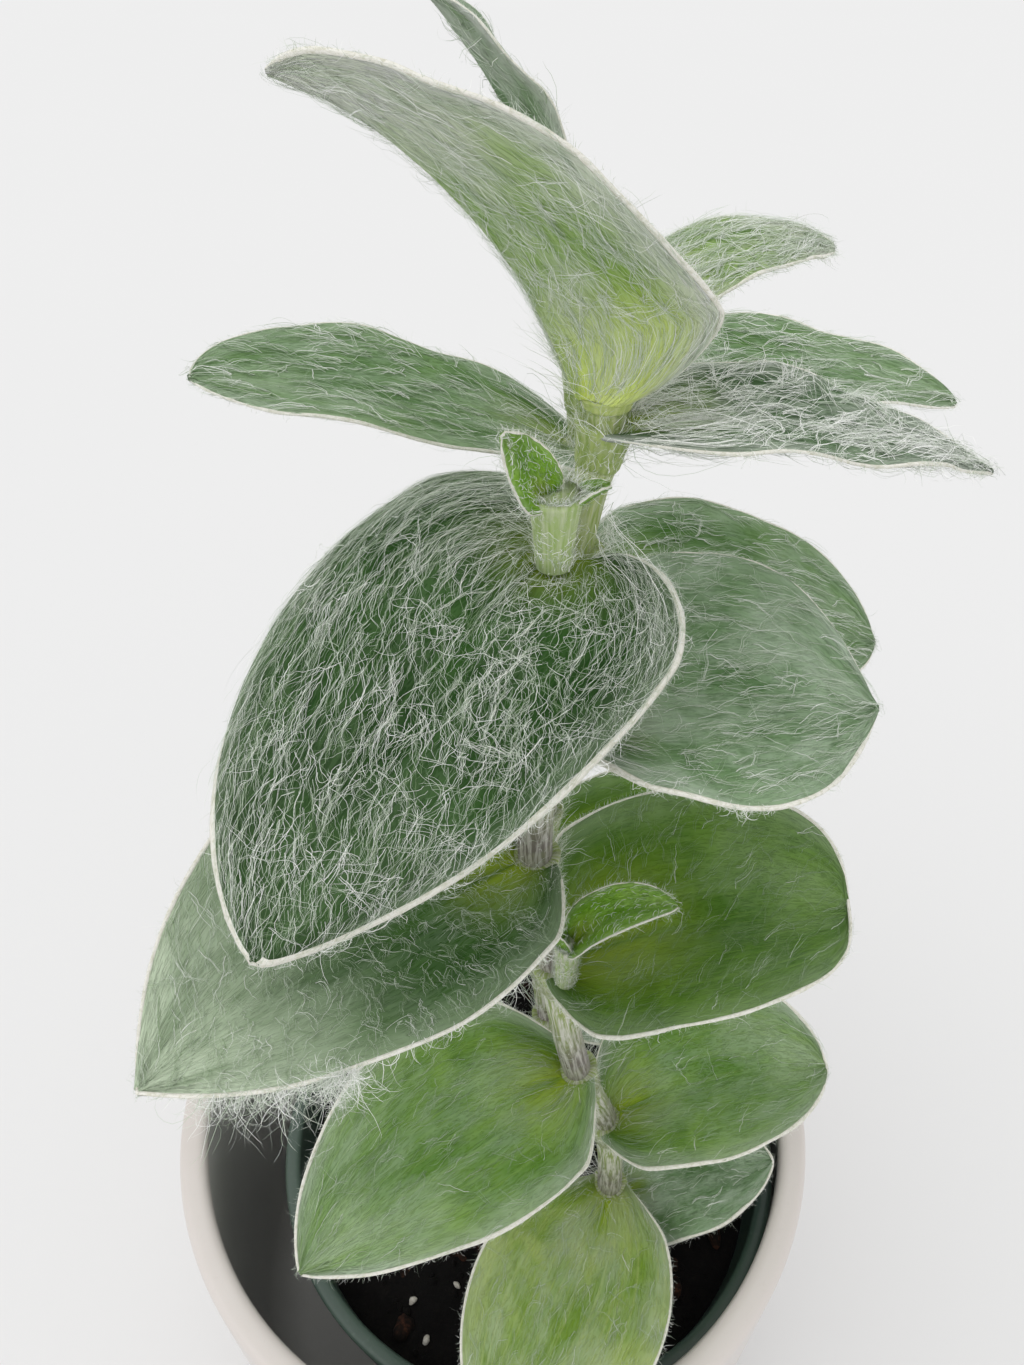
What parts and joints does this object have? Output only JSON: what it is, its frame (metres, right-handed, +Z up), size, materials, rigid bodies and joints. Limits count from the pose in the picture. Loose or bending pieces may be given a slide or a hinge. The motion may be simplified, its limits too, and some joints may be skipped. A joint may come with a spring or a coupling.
{
  "type": "potted white velvet tradescantia",
  "caption": "Leafy houseplant with two upright shoots of woolly, sheathed, two-ranked leaves, growing in a nursery pot that stands inside a plain outer pot.",
  "frame": {"origin": "centre of the outer pot's flat underside, where it rests", "axes": "+Z up, +X to the right and -Y to the front, towards the largest leaf's side"},
  "size_m": [0.127, 0.1277, 0.2934],
  "materials": {
    "outer_pot": "off-white glaze outside, paler and shaded inside",
    "nursery_pot": "satin teal-green thin plastic",
    "soil": "rough, damp potting mix",
    "stem": "green, purple-grey between the leaves, under white wool",
    "leaf": "velvety green under long white hairs, with a cream edge",
    "young_leaf": "fresh green under dense white hairs"
  },
  "bodies": {
    "root": {"outer_pot": "outer_pot", "nursery_pot": "nursery_pot", "soil": "soil", "stem_a": "stem", "stem_b": "stem", "leaf_a01": "leaf", "leaf_a02": "leaf", "leaf_a03": "leaf", "leaf_a04": "leaf", "leaf_a05": "leaf", "leaf_a06": "leaf", "leaf_a07": "leaf", "leaf_a08": "leaf", "leaf_a09": "leaf", "leaf_a10": "young_leaf", "leaf_a11": "young_leaf", "leaf_b01": "leaf", "leaf_b02": "leaf", "leaf_b03": "leaf", "leaf_b04": "leaf", "leaf_b05": "leaf", "leaf_b06": "leaf", "leaf_b07": "leaf", "leaf_b08": "leaf", "leaf_b09": "leaf", "leaf_b10": "leaf", "leaf_b11": "young_leaf", "sprout_a08": "young_leaf", "sprout_a05": "young_leaf"}
  },
  "joints": []
}
